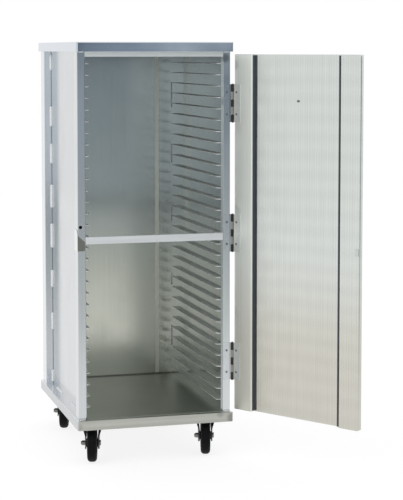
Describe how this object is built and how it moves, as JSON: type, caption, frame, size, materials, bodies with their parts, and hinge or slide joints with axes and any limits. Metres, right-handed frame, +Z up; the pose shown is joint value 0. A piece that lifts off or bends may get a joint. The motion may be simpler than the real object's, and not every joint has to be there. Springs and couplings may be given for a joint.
{
  "type": "enclosed meal tray cart",
  "caption": "Tall aluminium tray cabinet on swivel casters, with a full-height hinged door, pairs of tray ledges on both side walls, a deck and a mid rail.",
  "frame": {"origin": "on the floor, under the middle of the cabinet's base rim", "axes": "+Z up, the door opening faces -Y, +X towards the hinge side of the door"},
  "size_m": [0.8574, 1.1243, 1.407],
  "materials": {
    "frame_aluminium": "mill aluminium extrusion, light handling marks",
    "post_aluminium": "bright mill aluminium extrusion with fine drawing lines",
    "wall_sheet": "smooth mill aluminium sheet",
    "back_sheet": "smooth mill aluminium sheet",
    "deck_sheet": "mill aluminium sheet, lightly scuffed",
    "ledge_aluminium": "extruded aluminium",
    "door_aluminium": "extruded aluminium with fine upright lines",
    "weld_metal": "rippled aluminium weld bead",
    "keeper_steel": "stainless steel, satin",
    "hinge_steel": "steel, satin",
    "rivet_zinc": "zinc plated",
    "axle_zinc": "zinc plated",
    "magnet_black": "bonded magnet strip",
    "handle_steel": "stainless steel, satin",
    "caster_black": "black paint, low sheen",
    "hub_black": "moulded black polymer",
    "tyre_black": "black rubber tread"
  },
  "bodies": {
    "cabinet": {"base_front_rail": "frame_aluminium", "base_right_rail": "frame_aluminium", "base_rear_rail": "frame_aluminium", "base_left_rail": "frame_aluminium", "floor_deck": "deck_sheet", "front_left_post": "post_aluminium", "front_right_post": "post_aluminium", "rear_left_post": "post_aluminium", "rear_right_post": "post_aluminium", "left_side_wall": "wall_sheet", "right_side_wall": "wall_sheet", "left_tray_ledges": "ledge_aluminium", "right_tray_ledges": "ledge_aluminium", "back_panel": "back_sheet", "back_joint_strips": "back_sheet", "roof_cap": "frame_aluminium", "front_header": "post_aluminium", "mid_rail": "post_aluminium", "latch_keeper": "keeper_steel", "side_weld_beads": "weld_metal", "corner_weld_beads": "weld_metal", "frame_weld_beads": "weld_metal", "hinge_frame_leaves": "hinge_steel", "hinge_pins": "hinge_steel", "hinge_frame_rivets": "rivet_zinc", "caster_channels": "frame_aluminium", "caster_plates": "caster_black", "kingpins": "rivet_zinc", "caster_bolts": "rivet_zinc"},
    "door": {"door_hinge_stile": "door_aluminium", "door_latch_stile": "door_aluminium", "door_panel": "door_aluminium", "door_end_caps": "door_aluminium", "hinge_door_leaves": "hinge_steel", "hinge_door_rivets": "rivet_zinc", "door_magnet_catch": "magnet_black", "door_pull_handle": "handle_steel", "door_panel_rivet": "rivet_zinc"},
    "front_left_caster": {"front_left_fork": "caster_black", "front_left_raceway": "caster_black", "front_left_axle": "axle_zinc"},
    "front_left_wheel": {"front_left_hub": "hub_black", "front_left_tyre": "tyre_black"},
    "front_right_caster": {"front_right_fork": "caster_black", "front_right_raceway": "caster_black", "front_right_axle": "axle_zinc"},
    "front_right_wheel": {"front_right_hub": "hub_black", "front_right_tyre": "tyre_black"},
    "rear_left_caster": {"rear_left_fork": "caster_black", "rear_left_raceway": "caster_black", "rear_left_axle": "axle_zinc"},
    "rear_left_wheel": {"rear_left_hub": "hub_black", "rear_left_tyre": "tyre_black"},
    "rear_right_caster": {"rear_right_fork": "caster_black", "rear_right_raceway": "caster_black", "rear_right_axle": "axle_zinc"},
    "rear_right_wheel": {"rear_right_hub": "hub_black", "rear_right_tyre": "tyre_black"}
  },
  "joints": [
    {"name": "door_swing", "type": "hinge", "parent": "cabinet", "child": "door", "pos_m": [0.2695, -0.3387, 0.7645], "axis": [0, 0, 1], "range_deg": [-124, 86]},
    {"name": "front_left_swivel", "type": "hinge", "parent": "cabinet", "child": "front_left_caster", "pos_m": [-0.1975, -0.252, 0.136], "axis": [0, 0, 1], "continuous": true},
    {"name": "front_right_swivel", "type": "hinge", "parent": "cabinet", "child": "front_right_caster", "pos_m": [0.1975, -0.252, 0.136], "axis": [0, 0, 1], "continuous": true},
    {"name": "rear_left_swivel", "type": "hinge", "parent": "cabinet", "child": "rear_left_caster", "pos_m": [-0.1975, 0.252, 0.136], "axis": [0, 0, 1], "continuous": true},
    {"name": "rear_right_swivel", "type": "hinge", "parent": "cabinet", "child": "rear_right_caster", "pos_m": [0.1975, 0.252, 0.136], "axis": [0, 0, 1], "continuous": true},
    {"name": "front_left_roll", "type": "hinge", "parent": "front_left_caster", "child": "front_left_wheel", "pos_m": [-0.20669, -0.28887, 0.0635], "axis": [0.9703, -0.2419, 0], "continuous": true},
    {"name": "front_right_roll", "type": "hinge", "parent": "front_right_caster", "child": "front_right_wheel", "pos_m": [0.18831, -0.28887, 0.0635], "axis": [0.9703, -0.2419, 0], "continuous": true},
    {"name": "rear_left_roll", "type": "hinge", "parent": "rear_left_caster", "child": "rear_left_wheel", "pos_m": [-0.20669, 0.21513, 0.0635], "axis": [0.9703, -0.2419, 0], "continuous": true},
    {"name": "rear_right_roll", "type": "hinge", "parent": "rear_right_caster", "child": "rear_right_wheel", "pos_m": [0.18831, 0.21513, 0.0635], "axis": [0.9703, -0.2419, 0], "continuous": true}
  ]
}
